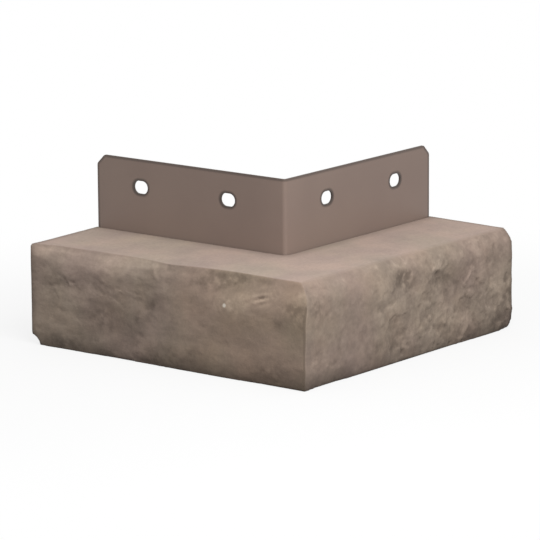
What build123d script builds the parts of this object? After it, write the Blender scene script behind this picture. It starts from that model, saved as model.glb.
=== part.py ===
from build123d import *
import math
import os

# Outside-corner ledge trim: a cast stone L that turns a wall's corner, with a bent steel
# nailing flange standing at its back. Millimetres.
# Origin: the wall's outside arris, on the level of the trim's underside.
# +X runs along the right arm, +Y along the left arm, +Z up. The wall fills x > 0, y > 0.

# Stone
wall_leg = 177.8  # length of either arm along the wall, from the inner corner to the sawn end
stone_depth = 77.6  # wall to the most forward point of the rough face
stone_height = 76.2  # underside to the ledge, at the wall
ledge_fall = 1.0  # drop of the ledge from the wall to the front, so that it sheds water

# Shoulder of each rough face, where it rolls back into the ledge: how far back the arris
# lies, the height of the roll, and how late it tightens, near the outer corner and far from it
right_near_shoulder = (14.0, 28.0, 3.0)
right_far_shoulder = (9.0, 17.5, 2.6)
left_near_shoulder = (12.5, 27.0, 1.4)
left_far_shoulder = (9.0, 16.0, 2.4)

# Toe of each rough face, where it turns under
toe_height = 12.0  # height of the turn
toe_power = 2.0  # how late it tightens, going down
toe_back = 1.0  # how far the bottom arris lies behind the face

# At an arm's sawn end the roll of the shoulder and the toe become these
right_end_shape = (9.2, 4.6)
left_end_shape = (1.2, 1.0)
end_power = 24.0  # how close to the end that begins
face_skin = 0.15  # least depth of dressing taken off anywhere on the face

# Shell-shaped bite broken off the left end's lower front corner
bite_radius = 10.0
bite_offset = 2.0  # its centre lies this far past the sawn end, and as far below the underside

# Hollows that the pitching chisel left in each face, and swells between them: where the
# middle lies, as shares of the face's length from the outer corner and of its height, then
# half length, half height and depth
right_hollows = (
    (0.07, 0.30, 16.0, 14.0, 1.4),
    (0.12, 0.00, 45.0, 8.0, 1.8),
    (0.27, 0.63, 13.0, 10.0, 1.5),
    (0.43, 0.16, 13.0, 9.0, 1.6),
    (0.44, 0.36, 12.0, 10.0, 1.8),
    (0.47, 0.78, 12.0, 10.0, 2.6),
    (0.62, 0.48, 40.0, 30.0, 2.4),
    (0.48, 0.57, 10.0, 9.0, -1.3),
    (0.57, 0.32, 10.0, 9.0, -1.2),
    (0.64, 0.48, 10.0, 9.0, -1.5),
    (0.66, 0.70, 13.0, 10.0, 2.2),
    (0.80, 0.31, 13.0, 11.0, 3.0),
    (0.80, 0.62, 11.0, 9.0, 1.2),
    (0.90, 0.00, 24.0, 6.0, -0.8),
    (0.91, 0.58, 11.0, 15.0, 1.2),
)
left_hollows = (
    (0.05, 0.00, 30.0, 8.0, 0.9),
    (0.10, 0.58, 14.0, 11.0, 1.2),
    (0.25, 0.38, 22.0, 16.0, 1.4),
    (0.27, 0.95, 22.0, 13.0, 2.0),
    (0.42, 0.66, 13.0, 10.0, 1.2),
    (0.50, 1.00, 18.0, 11.0, -4.5),
    (0.56, 0.57, 13.0, 11.0, 2.4),
    (0.65, 0.18, 15.0, 10.0, 2.2),
    (0.72, 0.44, 26.0, 20.0, 3.4),
    (0.80, 0.20, 12.0, 9.0, 1.4),
    (0.93, 0.55, 14.0, 18.0, 1.2),
)
face_stations = 32  # sections along each face
face_levels = 9  # points of a section between the toe and the ledge
level_crowding = 1.3  # how much closer they lie near the ledge

# Nailing flange
sheet_thickness = 1.5
bend_inside_radius = 1.5
flange_inset = 1.7  # stone's sawn end to the flange's end
flange_rise = 55.6  # ledge at the wall to the flange's top edge
flange_embed = 50.8  # ledge down to the sheet's foot, behind the stone
flange_clip = 7.0  # 45 degree cut off each upper corner
clip_radius = 3.0  # rounding of the clip's own two corners
slot_height = 9.8
slot_length = 13.3
slot_rise = 34.6  # ledge up to the slots' centre line
right_slots = (48.4, 132.6)  # inner corner to the slots' centres
left_slots = (51.5, 134.1)

# Working allowance by which cutting bodies run past the stone
overrun = 6.0

face_length = wall_leg + stone_depth
flange_leg = wall_leg - flange_inset
outer_bend_radius = bend_inside_radius + sheet_thickness
flange_height = flange_rise + flange_embed
flange_foot = stone_height - flange_embed


def right_section(along):
    """Section plane across the right arm: local x points out of the wall, local y up."""
    return Plane(origin=(along, 0, 0), x_dir=(0, -1, 0), z_dir=(-1, 0, 0))


def left_section(along):
    """Section plane across the left arm: local x points out of the wall, local y up."""
    return Plane(origin=(0, along, 0), x_dir=(-1, 0, 0), z_dir=(0, 1, 0))


def face_set_back(share, height, near_shoulder, far_shoulder, end_shape, hollows):
    """How far the face lies behind its most forward plane, at a share of its length."""
    at_end = max(0, share) ** end_power
    roll, drop, power = (
        near + (far - near) * share for near, far in zip(near_shoulder, far_shoulder)
    )
    end_roll, end_toe = end_shape
    roll += (end_roll - roll) * at_end
    toe = toe_back + (end_toe - toe_back) * at_end
    into_shoulder = max(0, 1 - (stone_height - height) / drop)
    into_toe = max(0, 1 - height / toe_height)
    depth = face_skin + roll * into_shoulder**power + toe * into_toe**toe_power
    for middle, level, half_length, half_height, hollow_depth in hollows:
        across = (share - middle) * face_length / half_length
        upward = (height - level * stone_height) / half_height
        depth += hollow_depth * math.exp(-(across**2) - upward**2)
    return depth


def section_heights():
    """Heights of a section's points, from below the stone to above it."""
    toe = [-overrun / 2, 0, toe_height / 2]
    face = []
    for level in range(face_levels):
        share = 1 - (1 - level / (face_levels - 1)) ** level_crowding
        face.append(toe_height + (stone_height - toe_height) * share)
    return toe + face + [stone_height + overrun / 2]


def rough_face_body(section_plane, near_shoulder, far_shoulder, end_shape, hollows):
    """A body that fills the space behind one rough face, past the stone on every other side."""
    start = -stone_depth - overrun
    step = (wall_leg + overrun - start) / (face_stations - 1)
    behind = -wall_leg - overrun
    with BuildPart(mode=Mode.PRIVATE) as body:
        for station in range(face_stations):
            along = start + step * station
            share = (along + stone_depth) / face_length
            points = []
            for height in section_heights():
                back = face_set_back(
                    share, height, near_shoulder, far_shoulder, end_shape, hollows
                )
                points.append((stone_depth - back, height))
            with BuildSketch(section_plane(along)):
                with BuildLine():
                    face = Spline(*points)
                    Polyline(face @ 1, (behind, points[-1][1]), (behind, points[0][1]), face @ 0)
                make_face()
        loft()
    return body.part


# Nailing flange: one strip of sheet, bent once round the wall's corner
with BuildPart() as nailing_flange:
    with BuildSketch(Plane.XY.offset(flange_foot)) as strip:
        with BuildLine():
            Polyline(
                (flange_leg, 0),
                (0, 0),
                (0, flange_leg),
                (-sheet_thickness, flange_leg),
                (-sheet_thickness, -sheet_thickness),
                (flange_leg, -sheet_thickness),
                close=True,
            )
        make_face()
        fillet(strip.vertices().sort_by_distance((0, 0))[0], bend_inside_radius)
        outer_corner = strip.vertices().sort_by_distance((-stone_depth, -stone_depth))[0]
        fillet(outer_corner, outer_bend_radius)
    extrude(amount=flange_height)
    # Upper corners clipped at 45 degrees, one at each end of the strip
    right_end = nailing_flange.edges().filter_by(Axis.Y).group_by(Axis.X)[-1]
    chamfer(right_end.sort_by(Axis.Z)[-1], flange_clip)
    left_end = nailing_flange.edges().filter_by(Axis.X).group_by(Axis.Y)[-1]
    chamfer(left_end.sort_by(Axis.Z)[-1], flange_clip)
    flange_top = stone_height + flange_rise
    clip_corners = ShapeList()
    for across, tip in ((Axis.Y, (flange_leg, 0)), (Axis.X, (0, flange_leg))):
        clip_corners += nailing_flange.edges().filter_by(across).sort_by_distance((*tip, flange_top))[:2]
    fillet(clip_corners, clip_radius)
    # Nail slots, punched square through each arm
    for section_plane, slots in ((right_section, right_slots), (left_section, left_slots)):
        for along in slots:
            facing = section_plane(along)
            punch_plane = Plane(
                origin=facing.from_local_coords((-overrun, stone_height + slot_rise)),
                x_dir=facing.z_dir,
                z_dir=facing.x_dir,
            )
            with BuildSketch(punch_plane):
                SlotOverall(slot_length, slot_height)
            extrude(amount=2 * overrun, mode=Mode.SUBTRACT)
nailing_flange.part.label = "nailing_flange"

# Stone: an L of plain arms, its ledge falling outwards from the wall on both sides, dressed
# to the two rough faces and cast round the flange
right_face_body = rough_face_body(
    right_section, right_near_shoulder, right_far_shoulder, right_end_shape, right_hollows
)
left_face_body = rough_face_body(
    left_section, left_near_shoulder, left_far_shoulder, left_end_shape, left_hollows
)
with BuildPart() as stone_ledge:
    with BuildSketch() as outline:
        front = -stone_depth - overrun
        with BuildLine():
            Polyline(
                (0, 0),
                (0, wall_leg),
                (front, wall_leg),
                (front, front),
                (wall_leg, front),
                (wall_leg, 0),
                close=True,
            )
        make_face()
        fillet(outline.vertices().sort_by_distance((0, 0))[0], bend_inside_radius)
    extrude(amount=stone_height)
    fall_angle = math.degrees(math.atan(ledge_fall / stone_depth))
    ledge = Plane.XY.offset(stone_height)
    split(bisect_by=ledge.rotated((fall_angle, 0, 0)), keep=Keep.BOTTOM)
    split(bisect_by=ledge.rotated((0, -fall_angle, 0)), keep=Keep.BOTTOM)
    add(right_face_body, mode=Mode.INTERSECT)
    add(left_face_body, mode=Mode.INTERSECT)
    with Locations((-stone_depth, wall_leg + bite_offset, -bite_offset)):
        Sphere(bite_radius, mode=Mode.SUBTRACT)
    add(nailing_flange.part, mode=Mode.SUBTRACT)
stone_ledge.part.label = "stone_ledge"

os.makedirs("parts", exist_ok=True)
for piece in (stone_ledge, nailing_flange):
    export_step(piece.part, f"parts/{piece.part.label}.step")
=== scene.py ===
import math

import bpy
from mathutils import Matrix, Vector, noise
from mathutils.bvhtree import BVHTree


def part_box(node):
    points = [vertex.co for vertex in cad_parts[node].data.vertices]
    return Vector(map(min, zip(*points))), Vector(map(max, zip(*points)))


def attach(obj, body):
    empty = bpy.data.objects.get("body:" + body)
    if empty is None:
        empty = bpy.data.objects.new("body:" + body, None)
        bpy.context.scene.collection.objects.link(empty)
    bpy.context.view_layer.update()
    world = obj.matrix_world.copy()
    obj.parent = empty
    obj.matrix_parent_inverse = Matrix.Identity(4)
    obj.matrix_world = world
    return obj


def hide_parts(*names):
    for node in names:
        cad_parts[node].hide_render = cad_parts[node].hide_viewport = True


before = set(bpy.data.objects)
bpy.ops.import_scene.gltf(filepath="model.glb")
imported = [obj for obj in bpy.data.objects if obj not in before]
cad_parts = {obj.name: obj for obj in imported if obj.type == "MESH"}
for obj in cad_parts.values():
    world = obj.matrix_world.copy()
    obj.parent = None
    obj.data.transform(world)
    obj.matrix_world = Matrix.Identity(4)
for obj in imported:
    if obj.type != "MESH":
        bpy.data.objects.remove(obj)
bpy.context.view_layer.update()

# Sizes in metres, from the frame. The wall's outside arris is the origin.
MM = 0.001
stone_low, stone_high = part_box("stone_ledge")
flange_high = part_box("nailing_flange")[1]
LEG = stone_high.x
DEPTH = -stone_low.x
HEIGHT = stone_high.z
FLANGE_LEG = flange_high.x
FLANGE_TOP = flange_high.z

# Places on the flange, repeated from the CAD source
CLIP = 7.0 * MM
SLOT_RADIUS = 4.9 * MM
SLOT_STRAIGHT = 1.75 * MM
SLOT_LEVEL = HEIGHT + 34.6 * MM
RIGHT_SLOTS = (48.4 * MM, 132.6 * MM)
LEFT_SLOTS = (51.5 * MM, 134.1 * MM)

# Camera, fitted to the photograph
AZIMUTH = math.radians(-51.90)
ELEVATION = math.radians(12.065)
ROLL = math.radians(-0.414)
LENS = 255.9
SENSOR = 36.0
DISTANCE = 2.7925
AIM_RIGHT = -0.0110
AIM_UP = 0.06345
FAR_CLIP = 20


def add_camera():
    """The photograph's view: a long lens a little above the ledge, before the outer corner."""
    back = Vector((
        math.sin(AZIMUTH) * math.cos(ELEVATION),
        -math.cos(AZIMUTH) * math.cos(ELEVATION),
        math.sin(ELEVATION),
    ))
    right = Vector((math.cos(AZIMUTH), math.sin(AZIMUTH), 0))
    up = back.cross(right)
    place = right * AIM_RIGHT + up * AIM_UP + back * DISTANCE
    rolled_right = right * math.cos(ROLL) + up * math.sin(ROLL)
    rolled_up = up * math.cos(ROLL) - right * math.sin(ROLL)
    data = bpy.data.cameras.new("camera")
    data.lens = LENS
    data.sensor_width = SENSOR
    data.sensor_fit = "HORIZONTAL"
    data.clip_end = FAR_CLIP
    camera = bpy.data.objects.new("camera", data)
    turn = Matrix((rolled_right, rolled_up, back)).transposed().to_4x4()
    camera.matrix_world = Matrix.Translation(place) @ turn
    bpy.context.collection.objects.link(camera)
    bpy.context.scene.camera = camera


# Stone mesh
VOXEL = 1.25 * MM
NOISE_SEED = 1
PITCHED_FROM = 0.6 * DEPTH  # pitched faces lie further out from the wall than this
PITCHED_NORMALS = (0.25, 0.8)  # outward part of the normal over which their relief comes in

# How strong the relief of each pitched face is near the outer corner, what is added far from it,
# the shares of the face's length between which that comes in, the share left in worn places, and
# the share that the shoulder takes away
RIGHT_STRENGTH = (0.35, 0.40, 0.25, 0.45, 0.5, 0.3)
LEFT_STRENGTH = (0.22, 0.20, 0.35, 0.6, 0.4, 0.6)
WORN_SIZE = 42 * MM
WORN_OFFSET = Vector((1, 5, 2))
PATCH_EDGES = (-0.25, 0.35)  # noise between which a patch comes in
SHOULDER_LEVELS = (HEIGHT - 24 * MM, HEIGHT - 10 * MM)
END_MARGIN = 9 * MM
END_CALM = 0.65
ARRIS_MARGIN = 14 * MM  # over which the relief comes in from the upright arris
ARRIS_ROUGH = 0.25

# The cuts in a pitched face: depth and size, and the seed of the first three
BROAD_CUTS = (1.1 * MM, 18 * MM, 3.1)
FACETS = (0.8 * MM, 11 * MM, 1.7)
SMALL_FACETS = (0.4 * MM, 5 * MM, 4.4)
GRAIN = (0.3 * MM, 4 * MM)
GRAIN_OCTAVES = (0.8, 2.1, 3)
PITS = (1.8 * MM, 6 * MM)
PIT_EDGES = (0.45, 0.75)
PIT_OFFSET = Vector((9, 4, 2))
RIGHT_STRETCH = 1.2  # how much longer the cuts are along the face
LEFT_STRETCH = 1.9
LEFT_SQUEEZE = 1.1  # how much lower they are

# The cells that the cuts follow: how finely and how far their outlines wander, how far a facet
# tilts and steps, how steeply a scallop falls off, and two factors that keep the draws of a
# facet's tilt and step apart
CHIP_WANDER = (0.7, 0.35)
SCALLOP_WANDER = (0.6, 0.5)
CHIP_TILT = 0.9
CHIP_STEP = 0.35
SCALLOP_FALL = 1.3
TILT_DRAW = 7.3
STEP_DRAW = 5.1

# The cut at which a ridge lies on the CAD surface, how far one may rise above it, the usual cut,
# the cavity depth that this looks like, and the share of the broad cuts that casts no shade
RIDGE_LEVEL = 1.2 * MM
RIDGE_LIFT = 0.15 * MM
MEAN_CUT = 1.9 * MM
MEAN_CAVITY = 0.6 * MM
BROAD_OPEN = 0.4

# Shade in the solid's own hollows: per depth, its limit, and the heights between which it ends
HOLLOW_SHADE = 0.10
HOLLOW_LIMIT = 5 * MM
HOLLOW_LEVELS = (HEIGHT - 26 * MM, HEIGHT - 12 * MM)

# Faces left as cast: waves and pores, depth and size, and how deep a cavity they look
CAST_WAVES = (0.12 * MM, 14 * MM)
WAVE_OCTAVES = (0.8, 2.0, 3)
CAST_PORES = (0.25 * MM, 2.6 * MM)
PORE_EDGES = (0.55, 0.8)
PORE_OFFSET = Vector((3, 8, 5))
CAST_CAVITY = 0.4 * MM

# The comb marks that stand out on the left face: centre, half size along and up the face,
# pitch, slant, depth, the painted highlight that makes their ridges pale, and how narrow their
# grooves
COMB_CENTRE = Vector((-DEPTH, -35.0 * MM, 60.8 * MM))
COMB_HALF_LENGTH = 7.5 * MM
COMB_HALF_HEIGHT = 4.5 * MM
COMB_PITCH = 4.2 * MM
COMB_SLANT = math.radians(16)
COMB_DEPTH = 1.3 * MM
COMB_HIGHLIGHT = 2.2 * MM
COMB_NARROW = 1.5

# The upright arris at the outer corner
ARRIS_RADIUS = 2.5 * MM
ARRIS_WEAR = 0.7

# The broken groove under the left arm's upper arris
GROOVE_END = 50 * MM
GROOVE_DROP = 4.5 * MM
GROOVE_HALF_HEIGHT = 1.8 * MM
GROOVE_DEPTH = 0.5 * MM
GROOVE_BREAK = 14 * MM
GROOVE_ROW = 7  # the row of noise that says where it breaks
FACE_BELT = 25 * MM  # marks of the left face lie no deeper in the stone than this

# Softening of the right arm's upper arris: how much, and the stretches over which it comes in
# going up, out to the face, away from the outer corner and back from the sawn end
SOFT_FACTOR = 0.5
SOFT_ROUNDS = 30
SOFT_UP = (HEIGHT - 10 * MM, HEIGHT - 6 * MM)
SOFT_OUT = (-DEPTH + 20 * MM, -DEPTH + 26 * MM)
SOFT_CORNER = (-DEPTH + 12 * MM, -DEPTH + 24 * MM)
SOFT_END = (LEG - 6 * MM, LEG - 2 * MM)

# Dark and pale places on the faces, partly stains and partly painted shade and painted highlights,
# as distance along the wall from its outside arris, height, half length, half height, and the depth
# of cavity that would look the same, all in mm
RIGHT_STAINS_AND_SHADING = (
    (-25, 35, 55, 40, 0.3),
    (42, 60, 14, 6.5, 1.4),
    (172, 28, 9, 14, 1.1),
    (130, 22, 9, 7, 0.6),
    (47, 53, 6, 5, 1.0),
    (-62, 57, 9, 8, 0.8),
    (-14, 52, 8, 8, -0.5),
    (8, 57, 17, 6, -0.45),
    (48, 37, 6, 5, -0.6),
    (87, 61.5, 9, 3, -2.6),
    (90, 22, 18, 6, -0.4),
    (8, 18, 7, 5, 0.6),
    (42, 22, 6, 5, 0.7),
    (70, 25, 6, 6, 0.5),
    (114, 10, 7, 5, -1.5),
    (-14, 6, 12, 5, -1.0),
    (92, 50, 17, 9, 1.2),
    (60, 47, 6, 6, -0.4),
    (85, 31, 13, 7, -0.5),
    (30, 29, 6, 5, 0.6),
    (26, 14, 16, 6, 0.8),
    (84, 17, 14, 4, 0.6),
    (121, 6, 26, 7, 0.9),
    (124, 23, 2.5, 2.5, 1.6),
    (165, 9, 14, 9, 1.5),
    (45, 71, 14, 3.5, -0.7),
    (-26, 70, 7, 4, -0.6),
    (12, 73.5, 7, 1.8, -0.9),
    (45, 63.5, 9, 2.5, 0.9),
    (-59, 23, 4, 3, 0.5),
)
LEFT_STAINS_AND_SHADING = (
    (112, 45, 50, 28, -0.25),
    (-5, 71, 28, 5, 0.9),
    (-22, 60, 9, 6, -0.8),
    (-42, 66, 12, 7, -0.7),
    (-7, 52, 14, 6, -1.2),
    (2, 65, 22, 4.5, 0.5),
    (-72, 50, 6, 8, 0.7),
    (-41, 8, 11, 5, 0.6),
    (67, 37, 5, 6, 0.7),
    (-66, 57, 12, 6, 1.1),
    (-70, 65.5, 9, 4, -0.9),
    (-53, 46, 4, 3, 0.6),
    (58, 64, 12, 5, 0.5),
    (117, 49, 10, 9, -0.5),
    (53, 57, 10, 7, -0.6),
    (151, 55, 9, 5, -0.6),
    (74, 9, 8, 5, -1.3),
    (30, 15, 26, 5, 0.4),
    (-60, 15, 24, 6, 0.4),
    (156, 22, 12, 4, 0.4),
    (-9, 48, 4, 3, 0.6),
    (21, 64, 8, 3, 0.6),
    (62, 44, 6, 2.5, 1.3),
    (76, 33, 4, 7, 0.7),
    (110, 28, 20, 11, 0.9),
    (111, 11, 8, 5, -0.5),
    (147, 5, 18, 5, 0.9),
    (56, 6, 22, 8, 0.7),
    (106, 3, 7, 4, 0.8),
    (46, 75.4, 10, 1.2, 1.4),
)
STAIN_AND_SHADING_GRAIN = 5 * MM
STAIN_AND_SHADING_OCTAVES = (0.6, 2.1, 4)
STAIN_AND_SHADING_RAGGED = 1.4

# Painted light on the left arm's shoulder facet: its foot as distance along the wall and drop below
# the ledge, how far before the first and past the second point it comes in, all in mm, how pale
# it is, the size and amount of the wander in its foot, the shares of its height over which it
# comes in at the top and goes at the foot, and how much paleness it loses going down
BAND_FOOT = (
    (42, 16), (50, 17), (65, 6), (78, 7), (90, 13), (102, 14),
    (114, 13), (125, 13), (149, 15), (163, 11), (178, 7),
)
BAND_START = 10
BAND_LIGHT = 1.15 * MM
BAND_WANDER_SIZE = 6 * MM
BAND_WANDER = 0.3
BAND_TOP = (0.0, 0.3)
BAND_END = (0.8, 1.25)
BAND_LOSS = 0.3


def smooth(low, high, value):
    """Smooth step from 0 at low to 1 at high."""
    t = min(1.0, max(0.0, (value - low) / (high - low)))
    return t * t * (3 - 2 * t)


def remeshed(node, voxel):
    """An even mesh of a CAD node, laid back onto its surface, as a new object."""
    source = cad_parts[node]
    piece = bpy.data.objects.new(node + "_dressed", source.data.copy())
    bpy.context.collection.objects.link(piece)
    remesh = piece.modifiers.new("even", "REMESH")
    remesh.mode = "VOXEL"
    remesh.voxel_size = voxel
    apply_modifiers(piece)
    surface = BVHTree.FromPolygons(
        [v.co for v in source.data.vertices], [p.vertices for p in source.data.polygons]
    )
    for vertex in piece.data.vertices:
        vertex.co = surface.find_nearest(vertex.co)[0]
    return piece


def apply_modifiers(piece):
    """Turn what the modifiers make of an object into its own mesh."""
    graph = bpy.context.evaluated_depsgraph_get()
    mesh = bpy.data.meshes.new_from_object(piece.evaluated_get(graph))
    piece.modifiers.clear()
    piece.vertex_groups.clear()
    piece.data = mesh


def cell_place(point, size, seed, fineness, amount):
    """A point in cell sizes, moved a little so that the cells' outlines wander."""
    wander = noise.noise_vector(point / size * fineness + Vector((seed, 0, 0))) * amount
    return point / size + wander + Vector((0, seed, 0))


def chips(point, size, seed):
    """Facets tilted each its own way, with a step from one to the next: about -1 to 1."""
    place = cell_place(point, size, seed, *CHIP_WANDER)
    centre = noise.voronoi(place)[1][0]
    tilt = noise.cell_vector(centre * TILT_DRAW) * 2 - Vector((1, 1, 1))
    step = noise.cell(centre * STEP_DRAW) * 2 - 1
    return CHIP_TILT * (place - centre).dot(tilt) + CHIP_STEP * step


def scallops(point, size, seed):
    """0 on the ridges between the chisel's bites, 1 in the middle of each."""
    distances = noise.voronoi(cell_place(point, size, seed, *SCALLOP_WANDER))[0]
    return max(0.0, 1 - distances[0] ** 2 * SCALLOP_FALL)


def comb_marks(point):
    """Depth of the slanting grooves on the left face, and how far a point is up on a ridge."""
    if point.x > -DEPTH + FACE_BELT:
        return 0.0, 0.0
    along = point.y - COMB_CENTRE.y
    up = point.z - COMB_CENTRE.z
    fade = math.exp(-(along / COMB_HALF_LENGTH) ** 2 - (up / COMB_HALF_HEIGHT) ** 2)
    across = up * math.cos(COMB_SLANT) + along * math.sin(COMB_SLANT)
    wave = math.sin(2 * math.pi * across / COMB_PITCH)
    return COMB_DEPTH * fade**2 * max(0.0, wave) ** COMB_NARROW, fade * max(0.0, -wave)


def stains_and_painted_light(point, right_face):
    """Extra cavity depth at the dark places, less at the pale ones: stains, painted shade and
    painted highlights.
    """
    along = point.x if right_face else point.y
    ragged = 1 + STAIN_AND_SHADING_RAGGED * noise.fractal(point / STAIN_AND_SHADING_GRAIN, *STAIN_AND_SHADING_OCTAVES)
    places = RIGHT_STAINS_AND_SHADING if right_face else LEFT_STAINS_AND_SHADING
    total = 0.0
    for middle, level, half_length, half_height, depth in places:
        across = (along - middle * MM) / (half_length * MM)
        upward = (point.z - level * MM) / (half_height * MM)
        total += depth * MM * math.exp(-(across**2) - upward**2)
    return total * max(0.0, ragged)


def painted_facet_light(point, right_face):
    """How much shallower the left arm's shoulder looks than it is, as painted light on its facet,
    with a clear foot.
    """
    along = point.y / MM
    first, first_drop = BAND_FOOT[0]
    if right_face or along < first - BAND_START:
        return 0.0
    drop = first_drop
    for (low, low_drop), (high, high_drop) in zip(BAND_FOOT, BAND_FOOT[1:]):
        if along > low:
            drop = low_drop + (high_drop - low_drop) * smooth(low, high, along)
    drop *= 1 + BAND_WANDER * noise.noise(point / BAND_WANDER_SIZE)
    down = (HEIGHT - point.z) / (drop * MM)
    begun = smooth(first - BAND_START, BAND_FOOT[1][0] + BAND_START, along)
    inside = smooth(*BAND_TOP, down) * (1 - BAND_LOSS * down) * (1 - smooth(*BAND_END, down))
    return BAND_LIGHT * begun * inside


def arris_round(along):
    """Depth that rounds the upright arris at the outer corner, at a distance from it."""
    if along > ARRIS_RADIUS:
        return 0.0
    across = ARRIS_RADIUS - max(along, 0.0)
    return ARRIS_RADIUS - math.sqrt(ARRIS_RADIUS**2 - across**2)


def arris_groove(point):
    """Depth of the broken groove under the left arm's crisp upper arris."""
    if point.x > -DEPTH + FACE_BELT or point.y > GROOVE_END:
        return 0.0
    below = (point.z - HEIGHT + GROOVE_DROP) / GROOVE_HALF_HEIGHT
    broken = smooth(*PATCH_EDGES, noise.noise(Vector((GROOVE_ROW, point.y / GROOVE_BREAK, 0))))
    return GROOVE_DEPTH * broken * math.exp(-(below**2))


def relief_strength(point, right_face, along):
    """How strong the relief of a pitched face is at a point, at a distance from its arris."""
    near, added, begin, end, worn_share, shoulder_share = (
        RIGHT_STRENGTH if right_face else LEFT_STRENGTH
    )
    worn = smooth(*PATCH_EDGES, noise.noise(point / WORN_SIZE + WORN_OFFSET))
    strength = near + added * smooth(begin, end, along / (LEG + DEPTH))
    strength *= worn_share + (1 - worn_share) * worn
    strength *= 1 - shoulder_share * smooth(*SHOULDER_LEVELS, point.z)
    strength *= 1 - END_CALM * smooth(LEG - END_MARGIN, LEG, along - DEPTH)
    return strength * (ARRIS_ROUGH + (1 - ARRIS_ROUGH) * smooth(0.0, ARRIS_MARGIN, along))


def face_relief(point, right_face):
    """Depth cut behind the CAD surface on a pitched face, and how deep in a cavity it lies."""
    along = (point.x if right_face else point.y) + DEPTH
    strength = relief_strength(point, right_face, along)
    if right_face:
        stretched = Vector((point.x / RIGHT_STRETCH, point.y, point.z))
    else:
        stretched = Vector((point.x, point.y / LEFT_STRETCH, point.z * LEFT_SQUEEZE))
    broad = BROAD_CUTS[0] * scallops(stretched, *BROAD_CUTS[1:])
    facets = FACETS[0] * (1 + chips(stretched, *FACETS[1:]))
    small = SMALL_FACETS[0] * (1 + chips(stretched, *SMALL_FACETS[1:]))
    grain = GRAIN[0] * (1 + noise.fractal(point / GRAIN[1], *GRAIN_OCTAVES))
    pit = PITS[0] * smooth(*PIT_EDGES, noise.noise(stretched / PITS[1] + PIT_OFFSET))
    comb, ridge = comb_marks(point)
    marks = comb + arris_groove(point)
    cuts = broad + facets + small + grain + pit
    relief = max(-RIDGE_LIFT, strength * (cuts - RIDGE_LEVEL))
    depth = relief + marks + ARRIS_WEAR * arris_round(along)
    shaded_cuts = strength * (cuts - BROAD_OPEN * broad - MEAN_CUT)
    cavity = MEAN_CAVITY + shaded_cuts + marks - COMB_HIGHLIGHT * ridge
    cavity += stains_and_painted_light(point, right_face) - painted_facet_light(point, right_face)
    cad_hollow = point.y + DEPTH if right_face else point.x + DEPTH
    low_down = 1 - smooth(*HOLLOW_LEVELS, point.z)
    cavity += HOLLOW_SHADE * min(cad_hollow, HOLLOW_LIMIT) * low_down
    return depth, cavity


def cast_relief(point):
    """The same two depths for a face left as cast."""
    depth = CAST_WAVES[0] * noise.fractal(point / CAST_WAVES[1], *WAVE_OCTAVES)
    pore_noise = noise.noise(point / CAST_PORES[1] + PORE_OFFSET)
    pores = CAST_PORES[0] * smooth(*PORE_EDGES, pore_noise)
    return depth + pores, CAST_CAVITY + pores


def soften_right_arris(piece):
    """The right arm's ledge runs into its rough face without a crease."""
    group = piece.vertex_groups.new(name="right arris")
    for vertex in piece.data.vertices:
        x, y, z = vertex.co
        high = smooth(*SOFT_UP, z)
        outer = 1 - smooth(*SOFT_OUT, y)
        off_corner = smooth(*SOFT_CORNER, x)
        off_end = 1 - smooth(*SOFT_END, x)
        group.add([vertex.index], high * outer * (off_corner * off_end), "REPLACE")
    soft = piece.modifiers.new("soft", "SMOOTH")
    soft.factor = SOFT_FACTOR
    soft.iterations = SOFT_ROUNDS
    soft.vertex_group = group.name
    apply_modifiers(piece)


def make_stone():
    """The ledge, with its faces pitched rough and the rest left as cast."""
    piece = remeshed("stone_ledge", VOXEL)
    soften_right_arris(piece)
    mesh = piece.data
    mesh.update()
    normals = [v.normal.copy() for v in mesh.vertices]
    hollow = mesh.attributes.new("hollow", "FLOAT", "POINT")
    for vertex, normal in zip(mesh.vertices, normals):
        point = vertex.co.copy()
        leftward = -normal.x if point.x < -PITCHED_FROM else 0
        rightward = -normal.y if point.y < -PITCHED_FROM else 0
        pitched = smooth(*PITCHED_NORMALS, max(leftward, rightward))
        cast_depth, cast_cavity = cast_relief(point)
        face_depth, face_cavity = face_relief(point, rightward > leftward)
        depth = pitched * face_depth + (1 - pitched) * max(0.0, cast_depth)
        cavity = pitched * face_cavity + (1 - pitched) * cast_cavity
        vertex.co = point - normal * depth
        hollow.data[vertex.index].value = cavity / MM
    for polygon in mesh.polygons:
        polygon.use_smooth = True
    mesh.materials.clear()
    mesh.materials.append(stone_material())
    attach(piece, "root")
    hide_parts("stone_ledge")


# Materials


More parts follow.
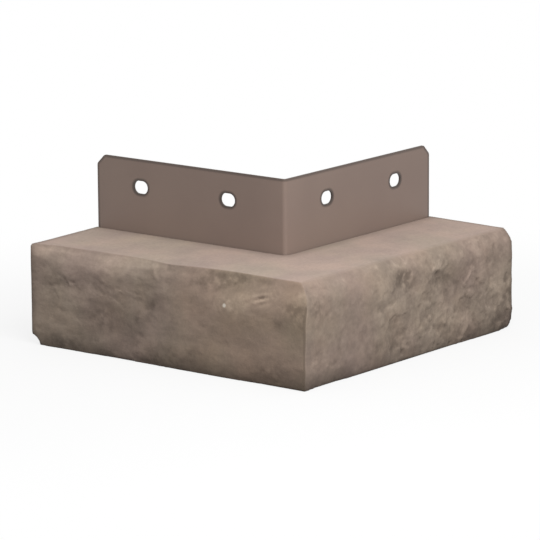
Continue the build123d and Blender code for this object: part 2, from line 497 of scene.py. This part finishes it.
class Shading:
    """A material's node tree, with short forms for the nodes that the materials use."""

    def __init__(self, name):
        self.material = bpy.data.materials.new(name)
        self.material.use_nodes = True
        self.tree = self.material.node_tree
        self.shader = self.tree.nodes["Principled BSDF"]
        self.place = self.add("ShaderNodeTexCoord").outputs["Object"]

    def add(self, kind, **settings):
        """A new node, with its inputs or properties set by name."""
        node = self.tree.nodes.new(kind)
        for key, value in settings.items():
            if key in node.inputs:
                node.inputs[key].default_value = value
            else:
                setattr(node, key, value)
        return node

    def link(self, source, target):
        self.tree.links.new(source, target)

    def math(self, operation, first, second=0.0):
        """One sum on numbers or sockets."""
        node = self.add("ShaderNodeMath", operation=operation)
        for socket, value in zip(node.inputs, (first, second)):
            if isinstance(value, (int, float)):
                socket.default_value = value
            else:
                self.link(value, socket)
        return node.outputs["Value"]

    def split(self, vector):
        """The x, y and z of a vector."""
        parts = self.add("ShaderNodeSeparateXYZ")
        self.link(vector, parts.inputs["Vector"])
        return parts.outputs["X"], parts.outputs["Y"], parts.outputs["Z"]

    def length(self, first, second):
        """The length of a vector with two parts."""
        first_square = self.math("MULTIPLY", first, first)
        second_square = self.math("MULTIPLY", second, second)
        return self.math("SQRT", self.math("ADD", first_square, second_square))

    def noise(self, scale, detail, roughness=0.5, vector=None):
        node = self.add("ShaderNodeTexNoise", Scale=scale, Detail=detail, Roughness=roughness)
        self.link(vector or self.place, node.inputs["Vector"])
        return node.outputs["Fac"]

    def ramp(self, value, stops):
        """A ramp fed by a value, with (place, colour or grey) stops."""
        node = self.add("ShaderNodeValToRGB")
        elements = node.color_ramp.elements
        while len(elements) < len(stops):
            elements.new(0.5)
        for element, (place, colour) in zip(elements, stops):
            element.position = place
            if isinstance(colour, float):
                colour = (colour, colour, colour)
            element.color = (*colour, 1)
        self.link(value, node.inputs["Fac"])
        return node.outputs["Color"]

    def fade(self, value, low, high, at_low, at_high):
        """A smooth change between two levels as a value goes from low to high."""
        node = self.add("ShaderNodeMapRange", interpolation_type="SMOOTHSTEP")
        levels = {"From Min": low, "From Max": high, "To Min": at_low, "To Max": at_high}
        for key, level in levels.items():
            node.inputs[key].default_value = level
        self.link(value, node.inputs["Value"])
        return node.outputs["Result"]

    def blend(self, kind, factor, first, second):
        """A mix of two colours or sockets."""
        node = self.add("ShaderNodeMix", data_type="RGBA", blend_type=kind)
        if isinstance(factor, float):
            node.inputs["Factor"].default_value = factor
        else:
            self.link(factor, node.inputs["Factor"])
        for key, value in (("A", first), ("B", second)):
            if isinstance(value, tuple):
                node.inputs[key].default_value = (*value, 1)
            else:
                self.link(value, node.inputs[key])
        return node.outputs["Result"]

    def tone(self, base, by, where=1.0):
        """A colour times another colour or a level, as far as a mask says."""
        return self.blend("MULTIPLY", where, base, by)

    def bump(self, height, strength, distance):
        node = self.add("ShaderNodeBump", Strength=strength, Distance=distance)
        self.link(height, node.inputs["Height"])
        self.link(node.outputs["Normal"], self.shader.inputs["Normal"])

    def finish(self, base, roughness):
        """Give the shader its colour and roughness."""
        self.link(base, self.shader.inputs["Base Color"])
        self.shader.inputs["Roughness"].default_value = roughness


# Stone colours, darkest patch first, the two tints that drift over them, and the greys of the
# grain and the streaks
STONE_PATCHES = (
    (0.34, (0.280, 0.220, 0.182)),
    (0.50, (0.308, 0.241, 0.196)),
    (0.66, (0.334, 0.257, 0.205)),
)
STONE_TINTS = (
    (0.38, (1.015, 0.985, 0.995)),
    (0.62, (0.985, 1.005, 0.975)),
)
GRAIN_TONES = ((0.30, 0.86), (0.70, 1.0))
STREAK_TONES = ((0.36, 0.86), (0.64, 1.10))
STONE_ROUGHNESS = 0.92
STONE_SPECULAR = 0.25
STONE_BUMP = (0.5, 0.4 * MM)

# Noises of the stone: scale per metre, detail and roughness
PATCH_NOISE = (26.0, 3.0, 0.6)
TINT_NOISE = (17.0, 2.0)
GRAIN_NOISE = (420.0, 5.0, 0.7)
STREAK_NOISE = (150.0, 3.0, 0.6)
STREAK_SCALES = (1.0, 0.4, 1.0)
FOOT_NOISE = (70.0, 3.0)
FOOT_WANDER = 8 * MM  # how far the darkening at the foot wanders up and down

# Tones over the stone's colour
# Painted light on ridges and painted shade in cavities, by how deep a cavity a point looks, which
# also carries the stains
RIDGE_TONE = (1.60, 1.60, 1.60)
CAVITY_TONE = (0.635, 0.62, 0.62)
TONE_CAVITIES = (-2.0, 2.6)  # cavity depths in mm that get these two
LEDGE_TOP_LIGHT = (1.34, 1.36, 1.41)  # how much paler the cast ledge is painted than the broken faces: painted top light, partly its own colour
SLOPE_TOP_LIGHT = (1.18, 1.19, 1.22)
SLOPE_LIGHT_TONES = ((0.04, LEDGE_TOP_LIGHT), (0.16, SLOPE_TOP_LIGHT), (0.60, 1.0))  # by slope in radians
BROWNER = (1.01, 0.99, 0.93)
BAND_SHADE = (0.94, 0.94, 0.94)
ARRIS_DARK = (0.11, 0.085, 0.068)
QUARTZ = (0.68, 0.62, 0.54)
QUARTZ_CHIP = Vector((-DEPTH, -4.8 * MM, 53 * MM))
QUARTZ_SIZE = 1.8 * MM

# Fades over the stone: from where to where, and the level at either
STREAKS_ALONG = (-30 * MM, 60 * MM, 0.4, 0.9)
STREAKS_UP = (0.7, 0.9, 1.0, 0.1)
FOOT_DARKENING = (3 * MM, 24 * MM, 0.56, 1.0)
FOOT_LINE = (4 * MM, 8 * MM, 0.78, 1.0)
WALL_SHADE = (1 * MM, 16 * MM, 0.76, 1.0)
END_DARKENING = (0.5 * MM, 7 * MM, 0.74, 1.0)

# Fades over the left face. Those named for facing go by how far the surface turns to the left.
ARRIS_DARK_BESIDE = (1.2 * MM, 3.2 * MM, 0.6, 0.0)
ARRIS_DARK_UP = (HEIGHT - 17 * MM, HEIGHT - 11 * MM, 1.0, 0.0)
MARK_FACING = (-0.65, -0.35, 1.0, 0.0)  # of the dark strip and the quartz
BROWN_ALONG = (0.0, 70 * MM, 1.0, 0.0)
BROWN_FACING = (-0.7, -0.3, 1.0, 0.0)
SHADE_UP = (HEIGHT - 20 * MM, HEIGHT - 12 * MM, 0.0, 1.0)
SHADE_ALONG = (20 * MM, 70 * MM, 1.0, 0.0)
SHADE_FACING = (-0.5, -0.2, 1.0, 0.0)
QUARTZ_OFF = (0.5 * QUARTZ_SIZE, QUARTZ_SIZE, 0.9, 0.0)


def stone_body(s, x, y, up, grain):
    """Soft patches and sandy grain, mottled on the broken faces, with painted shade in cavities and
    painted top light.
    """
    base = s.ramp(s.noise(*PATCH_NOISE), STONE_PATCHES)
    base = s.tone(base, s.ramp(s.noise(*TINT_NOISE), STONE_TINTS))
    base = s.tone(base, s.ramp(grain, GRAIN_TONES))
    # Mottling drawn out along the left arm, stronger away from the outer corner
    drawn_out = s.add("ShaderNodeMapping", Scale=STREAK_SCALES)
    s.link(s.place, drawn_out.inputs["Vector"])
    streaks = s.noise(*STREAK_NOISE, drawn_out.outputs["Vector"])
    busy = s.fade(s.math("MAXIMUM", x, y), *STREAKS_ALONG)
    busy = s.math("MULTIPLY", busy, s.fade(up, *STREAKS_UP))
    base = s.tone(base, s.ramp(streaks, STREAK_TONES), busy)
    # Painted shade in cavities and painted light on ridges, with the stains, from the cavity depth
    hollow = s.add("ShaderNodeAttribute", attribute_name="hollow").outputs["Fac"]
    depth = s.fade(hollow, *TONE_CAVITIES, 0.0, 1.0)
    base = s.tone(base, s.blend("MIX", depth, RIDGE_TONE, CAVITY_TONE))
    # Painted top light: the cast ledge and up-facing slopes are painted paler than the broken
    # faces, partly also for the cast top's own paler colour
    slope = s.math("ARCCOSINE", s.math("MINIMUM", up, 1.0))
    return s.tone(base, s.ramp(slope, SLOPE_LIGHT_TONES))


def stone_darkening(s, base, x, y, z):
    """Darker towards the foot, and painted shade on the ledge against the flange."""
    foot = s.math("ADD", z, s.math("MULTIPLY", s.noise(*FOOT_NOISE), FOOT_WANDER))
    base = s.tone(base, s.fade(foot, *FOOT_DARKENING))
    base = s.tone(base, s.fade(foot, *FOOT_LINE))
    # Painted shade on the ledge close to the flange
    off_left_arm = s.math("MAXIMUM", s.math("MULTIPLY", x, -1.0), 0.0)
    off_right_arm = s.math("MAXIMUM", s.math("MULTIPLY", y, -1.0), 0.0)
    off_wall = s.length(off_left_arm, off_right_arm)
    return s.tone(base, s.fade(off_wall, *WALL_SHADE))


def left_face_marks(s, base, y, z, facing_x):
    """A darker strip beside the upright arris, a browner part and a shaded part, all on the left
    face.
    """
    # Darker beside the upright arris
    beside = s.fade(s.math("ADD", y, DEPTH), *ARRIS_DARK_BESIDE)
    darkened = s.math("MULTIPLY", beside, s.fade(z, *ARRIS_DARK_UP))
    darkened = s.math("MULTIPLY", darkened, s.fade(facing_x, *MARK_FACING))
    base = s.blend("MIX", darkened, base, ARRIS_DARK)
    # Browner towards the outer corner
    brown = s.math("MULTIPLY", s.fade(y, *BROWN_ALONG), s.fade(facing_x, *BROWN_FACING))
    base = s.tone(base, BROWNER, brown)
    # Shaded under the crisp part of the upper arris
    shaded = s.math("MULTIPLY", s.fade(z, *SHADE_UP), s.fade(y, *SHADE_ALONG))
    shaded = s.math("MULTIPLY", shaded, s.fade(facing_x, *SHADE_FACING))
    return s.tone(base, BAND_SHADE, shaded)


def quartz_chip(s, base, y, z, facing_x):
    """One pale chip of quartz in the left face."""
    off_chip = s.length(s.math("SUBTRACT", y, QUARTZ_CHIP.y), s.math("SUBTRACT", z, QUARTZ_CHIP.z))
    shows = s.math("MULTIPLY", s.fade(off_chip, *QUARTZ_OFF), s.fade(facing_x, *MARK_FACING))
    return s.blend("MIX", shows, base, QUARTZ)


def stone_material():
    """Grey-brown cast stone."""
    s = Shading("cast_stone")
    x, y, z = s.split(s.place)
    facing_x, _, facing_z = s.split(s.add("ShaderNodeNewGeometry").outputs["Normal"])
    grain = s.noise(*GRAIN_NOISE)
    base = stone_body(s, x, y, facing_z, grain)
    base = stone_darkening(s, base, x, y, z)
    base = left_face_marks(s, base, y, z, facing_x)
    # Both sawn ends are a little darker along their edges
    off_end = s.math("SUBTRACT", LEG, s.math("MAXIMUM", x, y))
    base = s.tone(base, s.fade(off_end, *END_DARKENING))
    base = quartz_chip(s, base, y, z, facing_x)
    s.finish(base, STONE_ROUGHNESS)
    s.shader.inputs["Specular IOR Level"].default_value = STONE_SPECULAR
    s.bump(grain, *STONE_BUMP)
    return s.material


# Paint: colours, noises, and fades that darken it along cut edges and round the slots, and a
# painted highlight by the bend
PAINT_CLOUDS = (
    (0.30, (0.215, 0.156, 0.130)),
    (0.70, (0.236, 0.174, 0.143)),
)
PAINT_ROUGHNESS = 0.5
PAINT_BUMP = (0.15, 0.1 * MM)
CLOUD_NOISE = (14.0, 3.0)
ORANGE_PEEL_NOISE = (900.0, 2.0)
EDGE_DARKENING = (0.8 * MM, 2.6 * MM, 0.52, 1.0)
SLOT_DARKENING = (0.4 * MM, 2.8 * MM, 0.32, 1.0)
BEND_HIGHLIGHT = (1 * MM, 30 * MM, 1.09, 1.0)


def slot_distance(s, along, up, centre):
    """Distance outside a nail slot's edge."""
    off_centre = s.math("ABSOLUTE", s.math("SUBTRACT", along, centre))
    beyond = s.math("MAXIMUM", s.math("SUBTRACT", off_centre, SLOT_STRAIGHT), 0.0)
    return s.math("SUBTRACT", s.length(beyond, s.math("SUBTRACT", up, SLOT_LEVEL)), SLOT_RADIUS)


def sheet_edge_distance(s, along, up):
    """Distance inside the sheet's top edge, end or clipped corner, whichever is nearest."""
    to_top = s.math("SUBTRACT", FLANGE_TOP, up)
    to_end = s.math("SUBTRACT", FLANGE_LEG, along)
    corner = FLANGE_LEG + FLANGE_TOP - CLIP
    across_clip = s.math("SUBTRACT", corner, s.math("ADD", along, up))
    to_clip = s.math("MULTIPLY", across_clip, math.sqrt(0.5))
    return s.math("MINIMUM", s.math("MINIMUM", to_top, to_end), to_clip)


def paint_material():
    """Brown paint on sheet steel: satin, faintly clouded, darker along cut edges and slots."""
    s = Shading("brown_paint")
    x, y, z = s.split(s.place)
    along = s.math("MAXIMUM", x, y)
    base = s.ramp(s.noise(*CLOUD_NOISE), PAINT_CLOUDS)
    base = s.tone(base, s.fade(sheet_edge_distance(s, along, z), *EDGE_DARKENING))
    rim = None
    for arm, slots in ((x, RIGHT_SLOTS), (y, LEFT_SLOTS)):
        for centre in slots:
            distance = slot_distance(s, arm, z, centre)
            rim = distance if rim is None else s.math("MINIMUM", rim, distance)
    base = s.tone(base, s.fade(rim, *SLOT_DARKENING))
    # Painted highlight: a little paler beside the bend
    base = s.tone(base, s.fade(along, *BEND_HIGHLIGHT))
    s.finish(base, PAINT_ROUGHNESS)
    s.bump(s.noise(*ORANGE_PEEL_NOISE), *PAINT_BUMP)
    return s.material


def paint_flange():
    """The bent sheet keeps its CAD shape and gets its paint."""
    paint = paint_material()
    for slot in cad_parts["nailing_flange"].material_slots:
        slot.material = paint


# Studio
FLOOR_HALF = 3.0
FLOOR_DROP = 0.2 * MM
FLOOR_SEEN = (0.8, 0.8, 0.8)  # how pale the floor is to the eye
FLOOR_BOUNCE = (0.2, 0.2, 0.2)  # how much light it throws back up at the object
FLOOR_GLOW = 0.82  # share of the floor's look that shadow doesn't reach, near the object
SHADOW_REACH = 0.26  # how far from the wall's arris that holds
KEY_DIRECTION = Vector((-0.353, -0.661, 0.661))
KEY_DISTANCE = 1.25
KEY_SIZE = 0.9
KEY_POWER = 14.0
ROOM_LIGHT = 0.62
WHITE = (1, 1, 1, 1)


def add_floor():
    """A white floor to the eye that throws little light back up at the object."""
    mesh = bpy.data.meshes.new("floor")
    corners = [(x * FLOOR_HALF, y * FLOOR_HALF, 0) for x, y in ((-1, -1), (1, -1), (1, 1), (-1, 1))]
    mesh.from_pydata(corners, [], [(0, 1, 2, 3)])
    floor = bpy.data.objects.new("floor", mesh)
    bpy.context.collection.objects.link(floor)
    floor.location.z = -FLOOR_DROP
    s = Shading("floor")
    path = s.add("ShaderNodeLightPath")
    seen = s.math("MAXIMUM", path.outputs["Is Camera Ray"], path.outputs["Is Glossy Ray"])
    s.finish(s.blend("MIX", seen, FLOOR_BOUNCE, FLOOR_SEEN), 1.0)
    s.shader.inputs["Specular IOR Level"].default_value = 0.0
    glow = s.add("ShaderNodeEmission", Strength=1.0)
    mix = s.add("ShaderNodeMixShader")
    x, y, _ = s.split(s.place)
    glowing = s.fade(s.length(x, y), SHADOW_REACH, 2 * SHADOW_REACH, FLOOR_GLOW, 1.0)
    s.link(s.math("MULTIPLY", seen, glowing), mix.inputs["Fac"])
    s.link(s.shader.outputs["BSDF"], mix.inputs[1])
    s.link(glow.outputs["Emission"], mix.inputs[2])
    s.link(mix.outputs["Shader"], s.tree.nodes["Material Output"].inputs["Surface"])
    mesh.materials.append(s.material)


def add_key_light():
    """One broad soft light above and before the corner."""
    data = bpy.data.lights.new("key", "AREA")
    data.size = KEY_SIZE
    data.energy = KEY_POWER
    lamp = bpy.data.objects.new("key", data)
    target = Vector((-DEPTH / 2, -DEPTH / 2, HEIGHT))
    lamp.location = target + KEY_DIRECTION.normalized() * KEY_DISTANCE
    lamp.rotation_euler = (-KEY_DIRECTION).to_track_quat("-Z", "Y").to_euler()
    bpy.context.collection.objects.link(lamp)


def add_room():
    """A pale room, white where the camera sees it."""
    world = bpy.data.worlds.new("room")
    world.use_nodes = True
    tree = world.node_tree
    background = tree.nodes["Background"]
    background.inputs["Color"].default_value = WHITE
    path = tree.nodes.new("ShaderNodeLightPath")
    level = tree.nodes.new("ShaderNodeMapRange")
    level.inputs["To Min"].default_value = ROOM_LIGHT
    level.inputs["To Max"].default_value = 1.0
    tree.links.new(path.outputs["Is Camera Ray"], level.inputs["Value"])
    tree.links.new(level.outputs["Result"], background.inputs["Strength"])
    bpy.context.scene.world = world


# Without a seed, the noise vectors differ from run to run
noise.seed_set(NOISE_SEED)
add_camera()
make_stone()
paint_flange()
add_floor()
add_key_light()
add_room()
bpy.context.scene.view_settings.view_transform = "Standard"
